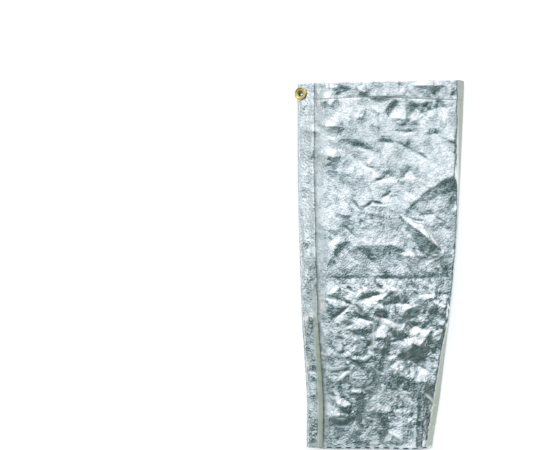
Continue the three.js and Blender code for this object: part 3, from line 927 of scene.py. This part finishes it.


# beside the lap seam: a narrow painted shadow, weaker near the arm, and a broader painted shade, weaker
# in one place
beside_lap = upper_x - left - LAP_WIDTH
shadow = 0.6 - 0.2 * smooth_step(upper_y, 100.0, 180.0)
shadow = shadow * (1.0 - smooth_step(beside_lap, 0.8, 4.5))
broad_shade = 0.24 - 0.2 * np.exp(-(((upper_y - 97.0) / 15.0) ** 2))
broad_shade = broad_shade * (1.0 - smooth_step(beside_lap, 2.0, 13.0))
lap_shade = smooth_step(beside_lap, -1.0, 0.6) * np.maximum(shadow, broad_shade)
stitch_shade = 0.45 * np.exp(-(((upper_y - casing_line(upper_x)) / 0.9) ** 2))
crease_shade = crease_lines(upper_x, upper_y, CREASES)
# the crease attribute: painted shade along hard creases, in the casing's stitch line and beside the lap
write_attribute(sleeve, "crease", whole_loop(np.maximum.reduce([crease_shade, lap_shade, stitch_shade])))

# a painted highlight runs all along the wrist hem's edge
hem_highlight = 0.6 * (1.0 - smooth_step(upper_y, WRIST_Y + 2.0, WRIST_Y + 5.0))
highlight_strength = np.maximum(crease_lines(upper_x, upper_y, HIGHLIGHT_LINES), hem_highlight)
write_attribute(sleeve, "painted_highlight", whole_loop(highlight_strength))
# side: the right wall, where shade is painted into the foil's colour
write_attribute(sleeve, "side", smooth_step(loop_x - side_crease(row_y), -0.5, 1.2))
print("attributes:", [name for name in ("crease", "painted_highlight", "side") if name in sleeve.data.attributes])

# %% [markdown]
# ## The lap seam
# Along the left fold one edge of the cloth laps over the other and is folded under, so it ends
# in a thicker, rounded edge. It is a closed profile carried along the slope beside the fold, and
# it follows the folds of the cloth under it. Towards the arm it is pressed flatter.

# %% Lap seam
# distance from the left edge and lift off the cloth, round the strip's section
LAP_PROFILE = np.array([
    (2.3, 0.3), (6.0, 0.3), (10.0, 0.3), (14.0, 0.3), (18.0, 0.3), (20.2, 0.35), (20.7, 0.7),
    (20.8, 1.2), (20.6, 1.65), (20.1, 1.95), (19.3, 2.1), (18.3, 2.12), (17.2, 2.0), (16.2, 1.72),
    (15.3, 1.45), (14.4, 1.3), (12.8, 1.24), (11.2, 1.26), (9.6, 1.3), (8.0, 1.3), (6.4, 1.28),
    (5.0, 1.2), (3.8, 1.05), (2.8, 0.8), (2.3, 0.55),
])
LAP_ROWS = 330
# lift of the strip's flat part: what stands higher is the folded edge
LAP_FLAT = 1.3


def slope_point(from_edge, lift, y):
    """A point over the slope beside the left fold: on the crumpled cloth, then off it along the
    slope's own direction."""
    edge = section(y)[0]
    x = edge + from_edge
    z = smooth_height(x, y) + crumpled(x, y, 1.0) + math.cos(LEFT_SLOPE) * lift
    x = x - math.sin(LEFT_SLOPE) * lift
    return np.stack([x, skewed(x, y), z], axis=-1)


lap_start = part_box("seam_flap")[0][1] / MM + 0.2
lap_y = np.linspace(lap_start, ARM_Y - 0.4, LAP_ROWS)[:, None]
lap_y = np.broadcast_to(lap_y, (LAP_ROWS, len(LAP_PROFILE)))
lap_edge, lap_lift = LAP_PROFILE[None, :, 0], LAP_PROFILE[None, :, 1]
lap_rounding = 0.35 + 0.65 * smooth_step(-lap_y, -60.0, 120.0)
lap_lift = np.where(lap_lift > LAP_FLAT, LAP_FLAT + lap_rounding * (lap_lift - LAP_FLAT), lap_lift)
lap_lift = lap_lift * (0.62 + 0.38 * lap_rounding)
lap_points = slope_point(np.broadcast_to(lap_edge, lap_y.shape), lap_lift, lap_y)
ring = len(LAP_PROFILE)
lap_quads = grid_quads(LAP_ROWS, ring, False)
lap_caps = [list(range(ring)), list(range((LAP_ROWS - 1) * ring, LAP_ROWS * ring))[::-1]]
lap_seam = new_piece("lap_seam", lap_points, lap_quads.tolist() + lap_caps)
lap_round = np.hypot(*np.diff(np.vstack([LAP_PROFILE, LAP_PROFILE[:1]]), axis=0).T)
lap_u = np.broadcast_to(np.concatenate([[0.0], np.cumsum(lap_round)]), (LAP_ROWS, ring + 1))
add_map(lap_seam, lap_u * MM, np.broadcast_to(lap_y[:, :1], lap_u.shape) * MM, False)
print("lap_seam:", 2 * len(lap_quads), "triangles")

# %% [markdown]
# ## The brass eyelet
# The drawcord leaves the casing through a brass eyelet: a rolled flange on the face, a funnel
# down to the hole, and a barrel that is rolled over behind the cloth. All of it is one profile
# turned round the eyelet's axis, which leans with the slope. A round hole is cut through the
# cloth and the lap for the barrel with a plain cutter, so the hole is really open.

# %% Eyelet
EYELET_LIFT = 2.0
EYELET_SIDES = 64

# radius and height over the cloth, out over the face and back down the barrel
EYELET_PROFILE = np.array([
    (3.2, -1.2), (3.25, -0.4), (3.4, 0.15), (3.7, 0.5), (4.1, 0.68), (4.6, 0.72), (5.1, 0.66),
    (5.5, 0.68), (5.9, 0.85), (6.4, 1.06), (6.9, 1.12), (7.4, 1.02), (7.8, 0.75), (8.0, 0.38),
    (7.95, 0.12), (7.7, 0.0), (6.5, 0.0), (5.2, 0.0), (4.2, -0.05), (3.75, -0.5), (3.7, -2.0),
    (3.75, -3.4), (4.1, -3.7), (4.5, -3.95), (4.5, -4.4), (4.1, -4.6), (3.6, -4.4), (3.25, -3.9),
    (3.2, -2.6),
])


def turned(centre, profile, sides, tilt):
    """The profile carried round an axis that leans by tilt from +Z towards -X."""
    angle = np.linspace(0.0, 2.0 * math.pi, sides, endpoint=False)[None, :]
    out, up = profile[:, :1], profile[:, 1:]
    across, along = out * np.cos(angle), out * np.sin(angle)
    x = across * math.cos(tilt) - up * math.sin(tilt)
    z = across * math.sin(tilt) + up * math.cos(tilt)
    return np.stack([x, along, z], axis=-1) + centre


eyelet_centre = slope_point(np.array(EYELET_FROM_EDGE), np.array(EYELET_LIFT), np.array(EYELET_Y))
eyelet_points = turned(eyelet_centre, EYELET_PROFILE, EYELET_SIDES, LEFT_SLOPE)
eyelet_quads = grid_quads(len(EYELET_PROFILE), EYELET_SIDES, True)
eyelet = new_piece("brass_eyelet", eyelet_points, eyelet_quads.tolist())
print("eyelet centre:", np.round(eyelet_centre, 1), "mm")

# %% Hole for the barrel
CUTTER_PROFILE = np.array([(0.3, -5.0), (3.5, -5.0), (3.5, 3.0), (0.3, 3.0)])
CUTTER_SIDES = 40

# this profile runs the other way round than the eyelet's, so its faces are turned over
cutter_points = turned(eyelet_centre, CUTTER_PROFILE, CUTTER_SIDES, LEFT_SLOPE)
cutter_quads = grid_quads(len(CUTTER_PROFILE), CUTTER_SIDES, False)[:, ::-1]
first_ring = list(range(CUTTER_SIDES))
last_ring = [point + (len(CUTTER_PROFILE) - 1) * CUTTER_SIDES for point in first_ring]
cutter = new_piece("hole_cutter", cutter_points, cutter_quads.tolist() + [first_ring, last_ring[::-1]])


def cut_hole(piece):
    """Takes the cutter out of the piece and keeps the result as the piece's own mesh."""
    modifier = piece.modifiers.new("hole", "BOOLEAN")
    modifier.operation = "DIFFERENCE"
    modifier.solver = "FAST"
    modifier.object = cutter
    evaluated = piece.evaluated_get(bpy.context.evaluated_depsgraph_get())
    mesh = bpy.data.meshes.new_from_object(evaluated)
    piece.modifiers.clear()
    piece.data = mesh
    return len(mesh.polygons)


print("faces after the hole:", [cut_hole(piece) for piece in (sleeve, lap_seam)])
bpy.data.objects.remove(cutter)

# %% [markdown]
# ## Stitches
# The casing and the hem are sewn with a lock stitch, so each stitch is a short, fat piece of
# thread that dips at both ends. One small capsule with a few dozen faces is repeated along the
# stitch line, turned to follow the cloth under it.

# %% Stitches
CAPSULE_RINGS = np.array([(-0.42, 0.62), (-0.2, 0.95), (0.0, 1.0), (0.2, 0.95), (0.42, 0.62)])
CAPSULE_SIDES = 6
POLE_DIP = 0.6
STITCH_LIFT = 0.25


def upper_point(x, y, lift):
    """A point on the crumpled upper layer, lifted off it."""
    z = smooth_height(x, y) + crumpled(x, y, 1.0) + lift
    return np.stack([x, skewed(x, y), z], axis=-1)


def sew(name, starts, stops, radius):
    """A capsule from each start to each stop: rings round the line between them, and a pole at
    each end. The capsule dips towards its ends, and its poles dip by a share of its radius."""
    span = stops - starts
    side = np.cross(span, [0.0, 0.0, 1.0])
    side /= np.linalg.norm(side, axis=-1, keepdims=True)
    rise = np.cross(side, span)
    rise /= np.linalg.norm(rise, axis=-1, keepdims=True)
    angle = np.linspace(0.0, 2.0 * math.pi, CAPSULE_SIDES, endpoint=False)
    place, girth_share = CAPSULE_RINGS[:, 0], CAPSULE_RINGS[:, 1]
    middle = (starts + stops) / 2
    dip = (girth_share[:, None] - 1.0) * radius * rise[:, None]
    spine = middle[:, None] + place[:, None] * span[:, None] + dip
    sideways, upwards = side[:, None, None], rise[:, None, None]
    outward = np.cos(angle)[:, None] * sideways + np.sin(angle)[:, None] * upwards
    rings = spine[:, :, None] + radius * girth_share[:, None, None] * outward
    poles = np.stack([starts, stops], axis=1) - POLE_DIP * radius * rise[:, None]
    points = np.concatenate([rings.reshape(len(starts), -1, 3), poles], axis=1)
    quads = grid_quads(len(CAPSULE_RINGS), CAPSULE_SIDES, False)
    first = np.arange(CAPSULE_SIDES)
    after = (first + 1) % CAPSULE_SIDES
    last = (len(CAPSULE_RINGS) - 1) * CAPSULE_SIDES
    count = len(CAPSULE_RINGS) * CAPSULE_SIDES
    fans = np.vstack([
        np.column_stack([np.full(CAPSULE_SIDES, count), first, after]),
        np.column_stack([np.full(CAPSULE_SIDES, count + 1), last + after, last + first]),
    ])
    offset = (np.arange(len(starts)) * (count + 2))[:, None, None]
    faces = (quads + offset).reshape(-1, 4).tolist() + (fans + offset).reshape(-1, 3).tolist()
    return new_piece(name, points, faces)


def stitch_row(name, line, x_from, x_to, pitch, length, radius):
    """Stitches of one length at one pitch along a line y = line(x) on the upper layer."""
    start_x = np.arange(x_from, x_to, pitch)
    stop_x = start_x + length
    starts = upper_point(start_x, line(start_x), STITCH_LIFT)
    stops = upper_point(stop_x, line(stop_x), STITCH_LIFT)
    return sew(name, starts, stops, radius)


def wrist_line(x):
    """y of the hem's stitches: straight, close to the edge."""
    return np.full_like(x, WRIST_Y + 2.4)


casing_stitches = stitch_row(
    "casing_stitches", casing_line, x_from=-78.0, x_to=94.0, pitch=4.0, length=3.1, radius=0.42)
wrist_stitches = stitch_row(
    "wrist_stitches", wrist_line, x_from=-66.0, x_to=54.0, pitch=11.6, length=7.6, radius=0.8)
stitches = (casing_stitches, wrist_stitches)
print("faces of the stitches:", [len(piece.data.polygons) for piece in stitches])

# %% [markdown]
# ## The foil
# The face of the cloth is a thin aluminium film on a woven backing. It is metal almost all over,
# a little rough, and its gloss changes from place to place. It is duller towards the arm and
# below the middle, where it has been handled. Where the crease attribute is high, painted shade
# makes it darker, and on sharp edges and the hem a painted highlight makes it a light grey.
# The weave shows as a fine raised grid, and small flat facets, each with a lean of its own, break
# up the reflections between the folds of the mesh.

# %% Patterns of the cloth
def cloth_place(tree):
    """The cloth's own map, as a socket."""
    return add_node(tree, "ShaderNodeUVMap", uv_map="cloth").outputs["UV"]


def attribute(tree, name):
    """A number that the mesh carries, as a socket."""
    return add_node(tree, "ShaderNodeAttribute", attribute_name=name).outputs["Fac"]


def noise(tree, vector, scale, detail=2.0, rough=0.5):
    """Cloudy values from 0 to 1, as a socket."""
    inputs = {"Vector": vector, "Scale": scale, "Detail": detail, "Roughness": rough}
    return add_node(tree, "ShaderNodeTexNoise", inputs).outputs["Fac"]


def weave(tree, vector, scale):
    """A raised grid of threads: the larger of two sets of waves at right angles, as a socket."""
    inputs = {"Vector": vector, "Scale": scale, "Distortion": 0.6, "Detail": 1.0, "Detail Scale": 0.4}
    warp = add_node(tree, "ShaderNodeTexWave", inputs, bands_direction="X").outputs["Fac"]
    weft = add_node(tree, "ShaderNodeTexWave", inputs, bands_direction="Y").outputs["Fac"]
    return maths(tree, "MAXIMUM", warp, weft)


def bump(tree, height, depth, strength, normal=None):
    """A normal that is tilted by a height with the given depth in metres, as a socket."""
    inputs = {"Strength": strength, "Distance": depth, "Height": height}
    if normal is not None:
        inputs["Normal"] = normal
    return add_node(tree, "ShaderNodeBump", inputs).outputs["Normal"]


def facet_bump(tree, vector, scale, lean, strength, normal):
    """Small flat facets: each cell of a Voronoi pattern is a plane with a lean of its own, whose
    height is the way from the cell's point times the cell's random colour less a half."""
    inputs = {"Vector": vector, "Scale": scale}
    cells = add_node(tree, "ShaderNodeTexVoronoi", inputs, voronoi_dimensions="2D")
    way = vectors(tree, "SUBTRACT", vector, cells.outputs["Position"])
    tilt = vectors(tree, "SUBTRACT", cells.outputs["Color"], (0.5, 0.5, 0.5))
    plane = vectors(tree, "DOT_PRODUCT", way.outputs[0], tilt.outputs[0])
    return bump(tree, plane.outputs["Value"], lean, strength, normal)


print("patterns ready")

# %% Foil
FILM_GREY, FILM_BRIGHT = (0.80, 0.835, 0.85), (0.90, 0.91, 0.92)
FILM_SPECK = (0.62, 0.66, 0.66)
FILM_DULL = (0.50, 0.55, 0.55)
# painted shade on the right wall, darker towards the arm than towards the wrist
SHADED_WALL_ARM, SHADED_WALL_WRIST = (0.29, 0.30, 0.27), (0.39, 0.42, 0.37)
# a painted highlight on sharp edges and the hem
FILM_PAINTED_HIGHLIGHT = (0.90, 0.96, 0.97)
# painted shade along hard creases, the casing's stitches and the lap seam
FILM_PAINTED_SHADE = (0.20, 0.23, 0.23)

foil, tree, shader = new_finish("aluminium_foil_cloth")
cloth_map = cloth_place(tree)
lengthwise = add_node(tree, "ShaderNodeSeparateXYZ", {"Vector": cloth_map}).outputs["Y"]
painted_shade_value, highlight_value, wall_shade_value = (attribute(tree, name) for name in ("crease", "painted_highlight", "side"))
# places along the sleeve are in metres from its middle, and the wrist is on the minus side
low_share = ranged(tree, lengthwise, 0.04, -0.05, 0.65, 1.0)
highlighted = ranged(tree, highlight_value, 0.1, 0.7, 0.0, 1.0)

clouds = noise(tree, cloth_map, 22.0, 3.0, 0.6)
specks = noise(tree, cloth_map, 420.0, 2.0, 0.6)
film = mixed(tree, ranged(tree, clouds, 0.35, 0.65, 0.0, 1.0), FILM_GREY, FILM_BRIGHT)
film = mixed(tree, ranged(tree, specks, 0.45, 0.75, 0.0, 0.4), film, FILM_SPECK)
arm_dulling = ranged(tree, lengthwise, 0.08, 0.14, 0.0, 0.25)
wrist_dulling = ranged(tree, lengthwise, -0.05, -0.09, 0.0, 0.25)
film = mixed(tree, maths(tree, "ADD", arm_dulling, wrist_dulling), film, FILM_DULL)
# painted shade on the right wall
film = mixed(tree, wall_shade_value, film, mixed(tree, low_share, SHADED_WALL_ARM, SHADED_WALL_WRIST))
# painted highlight on sharp edges and the hem
film = mixed(tree, highlighted, film, FILM_PAINTED_HIGHLIGHT)
# painted shade where the crease attribute is high
film = mixed(tree, ranged(tree, painted_shade_value, 0.1, 0.9, 0.0, 0.8), film, FILM_PAINTED_SHADE)
tree.links.new(film, shader.inputs["Base Color"])
# less metal where the highlight is painted, so it reads light grey
tree.links.new(ranged(tree, highlight_value, 0.1, 0.7, 1.0, 0.35), shader.inputs["Metallic"])

gloss = ranged(tree, clouds, 0.3, 0.7, 0.19, 0.29)
gloss = maths(tree, "ADD", gloss, ranged(tree, painted_shade_value, 0.0, 1.0, 0.0, 0.25))
gloss = maths(tree, "ADD", gloss, ranged(tree, highlight_value, 0.0, 1.0, 0.0, 0.4))
tree.links.new(gloss, shader.inputs["Roughness"])

relief = bump(tree, weave(tree, cloth_map, 240.0), 0.0001, 0.5)
relief = bump(tree, noise(tree, cloth_map, 430.0, 0.0, 0.5), 0.00028, low_share, relief)
relief = facet_bump(tree, cloth_map, 85.0, 0.11, low_share, relief)
relief = facet_bump(tree, cloth_map, 210.0, 0.15, low_share, relief)
tree.links.new(relief, shader.inputs["Normal"])
print("foil nodes:", len(tree.nodes))

# %% [markdown]
# ## The other finishes
# The inside of the sleeve is the bare woven backing, a warm grey cloth. The lap seam is the same
# foil cloth, but its folded edge is rubbed and lets the backing show, most of all near the
# wrist. The casing's thread is grey polyester, the hem's is nearly black, which also paints the
# shade along the wrist edge, and the eyelet is lacquered brass with tarnished patches.

# %% Backing
YARN_DARK, YARN_LIGHT = (0.44, 0.43, 0.36), (0.56, 0.55, 0.48)

backing, tree, shader = new_finish("woven_backing")
cloth_map = cloth_place(tree)
patches = ranged(tree, noise(tree, cloth_map, 60.0, 4.0, 0.6), 0.3, 0.7, 0.0, 1.0)
yarn = mixed(tree, patches, YARN_DARK, YARN_LIGHT)
tree.links.new(yarn, shader.inputs["Base Color"])
shader.inputs["Roughness"].default_value = 0.85
tree.links.new(bump(tree, weave(tree, cloth_map, 290.0), 0.0003, 0.6), shader.inputs["Normal"])
print("backing nodes:", len(tree.nodes))

# %% Seam cloth
LAP_GREY, LAP_BRIGHT = (0.80, 0.825, 0.84), (0.89, 0.90, 0.91)
LAP_DULL = (0.66, 0.70, 0.70)
LAP_BARE = (0.46, 0.51, 0.41)

seam, tree, shader = new_finish("lap_seam_cloth")
cloth_map = cloth_place(tree)
lengthwise = add_node(tree, "ShaderNodeSeparateXYZ", {"Vector": cloth_map}).outputs["Y"]
low_share = ranged(tree, lengthwise, 0.10, -0.12, 0.0, 1.0)
clouds = noise(tree, cloth_map, 40.0, 3.0, 0.6)
wear_value = attribute(tree, "edge_wear")
bare = maths(tree, "MULTIPLY", wear_value, ranged(tree, clouds, 0.25, 0.6, 0.75, 1.0))

film = mixed(tree, ranged(tree, clouds, 0.35, 0.65, 0.0, 1.0), LAP_GREY, LAP_BRIGHT)
film = mixed(tree, low_share, film, LAP_DULL)
tree.links.new(mixed(tree, bare, film, LAP_BARE), shader.inputs["Base Color"])
tree.links.new(ranged(tree, bare, 0.0, 1.0, 1.0, 0.1), shader.inputs["Metallic"])
tree.links.new(ranged(tree, bare, 0.0, 1.0, 0.26, 0.7), shader.inputs["Roughness"])

crinkle = ranged(tree, low_share, 0.0, 0.7, 0.52, 1.0)
relief = bump(tree, weave(tree, cloth_map, 240.0), 0.0001, 0.5)
relief = bump(tree, noise(tree, cloth_map, 400.0, 0.0, 0.5), 0.0004, 1.0, relief)
relief = facet_bump(tree, cloth_map, 85.0, 0.215, crinkle, relief)
relief = facet_bump(tree, cloth_map, 190.0, 0.19, crinkle, relief)
tree.links.new(relief, shader.inputs["Normal"])
print("seam nodes:", len(tree.nodes))


# %% Thread and brass
BRASS_BRIGHT, BRASS_BROWN = (0.78, 0.60, 0.22), (0.42, 0.34, 0.14)


def thread_finish(name, dark, light):
    """Twisted thread: fine noise changes both its colour and its surface."""
    material, tree, shader = new_finish(name)
    place = add_node(tree, "ShaderNodeTexCoord").outputs["Object"]
    plies = noise(tree, place, 1400.0, 2.0, 0.5)
    tree.links.new(mixed(tree, plies, dark, light), shader.inputs["Base Color"])
    shader.inputs["Roughness"].default_value = 0.7
    tree.links.new(bump(tree, plies, 0.0002, 0.5), shader.inputs["Normal"])
    return material


grey_thread = thread_finish("grey_thread", (0.20, 0.23, 0.23), (0.42, 0.45, 0.45))
# nearly black: partly the hem's thread, partly painted shade along the wrist edge
hem_thread_and_shade = thread_finish("hem_thread_and_shade", (0.03, 0.035, 0.04), (0.09, 0.10, 0.11))

brass, tree, shader = new_finish("eyelet_brass")
place = add_node(tree, "ShaderNodeTexCoord").outputs["Object"]
tarnish = noise(tree, place, 500.0, 4.0, 0.6)
brown_share = ranged(tree, tarnish, 0.35, 0.75, 0.0, 1.0)
tone = mixed(tree, brown_share, BRASS_BRIGHT, BRASS_BROWN)
tree.links.new(tone, shader.inputs["Base Color"])
shader.inputs["Metallic"].default_value = 1.0
tree.links.new(ranged(tree, tarnish, 0.3, 0.7, 0.18, 0.42), shader.inputs["Roughness"])
tree.links.new(bump(tree, tarnish, 0.0002, 0.4), shader.inputs["Normal"])
print("finishes:", [item.name for item in (foil, backing, seam, grey_thread, hem_thread_and_shade, brass)])

# %% [markdown]
# ## Put the finishes on
# The sleeve takes two finishes: foil outside and backing inside. A face belongs to the inside
# when it looks towards the height half way up the tube, and the walls and ends count as outside.
# The lap's wear is written on its points from their place on the profile and along the sleeve.

# %% Assign the finishes
# a face is level enough to be inside when its normal rises or falls by this much
LEVEL_ENOUGH = 0.3


def read_vectors(items, key):
    """One vector of each point or face of a mesh, as rows."""
    values = np.zeros(3 * len(items))
    items.foreach_get(key, values)
    return values.reshape(-1, 3)


def put_on(piece, *finishes):
    """Gives the piece these materials and no others."""
    piece.data.materials.clear()
    for finish in finishes:
        piece.data.materials.append(finish)


middle = read_vectors(sleeve.data.polygons, "center") / MM
upward = read_vectors(sleeve.data.polygons, "normal")[:, 2]
half_way = smooth_height(middle[:, 0], middle[:, 1]) / 2
looks_in = np.sign(middle[:, 2] - half_way) * upward < 0.0
inside = looks_in & (np.abs(upward) > LEVEL_ENOUGH)
put_on(sleeve, foil, backing)
sleeve.data.polygons.foreach_set("material_index", inside.astype(np.int32))

lap_place = read_vectors(lap_seam.data.vertices, "co") / MM
lap_from_edge = lap_place[:, 0] - section(lap_place[:, 1])[0]
folded_edge = smooth_step(lap_from_edge, 14.0, 15.6)
towards_wrist = 0.04 + 0.96 * smooth_step(-lap_place[:, 1], 10.0, 110.0)
write_attribute(lap_seam, "edge_wear", folded_edge * towards_wrist)
put_on(lap_seam, seam)
put_on(eyelet, brass)
put_on(casing_stitches, grey_thread)
put_on(wrist_stitches, hem_thread_and_shade)
print("inside faces:", int(inside.sum()), "of", len(inside))

# %% [markdown]
# ## Tie the pieces to the frame
# Every piece rides on the one body. The cloth stands for the solids of the tube and both hems.

# %% Tie the pieces to the frame
PIECES = {
    sleeve: "foil_cloth",
    lap_seam: "seam_cloth",
    eyelet: "eyelet_brass",
    casing_stitches: "seam_cloth",
    wrist_stitches: "seam_cloth",
}
for piece, finish_slot in PIECES.items():
    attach(piece, "root")
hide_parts("sleeve_body", "arm_hem", "wrist_hem")
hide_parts("seam_flap")
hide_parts("eyelet")

print("pieces:", [piece.name for piece in PIECES])
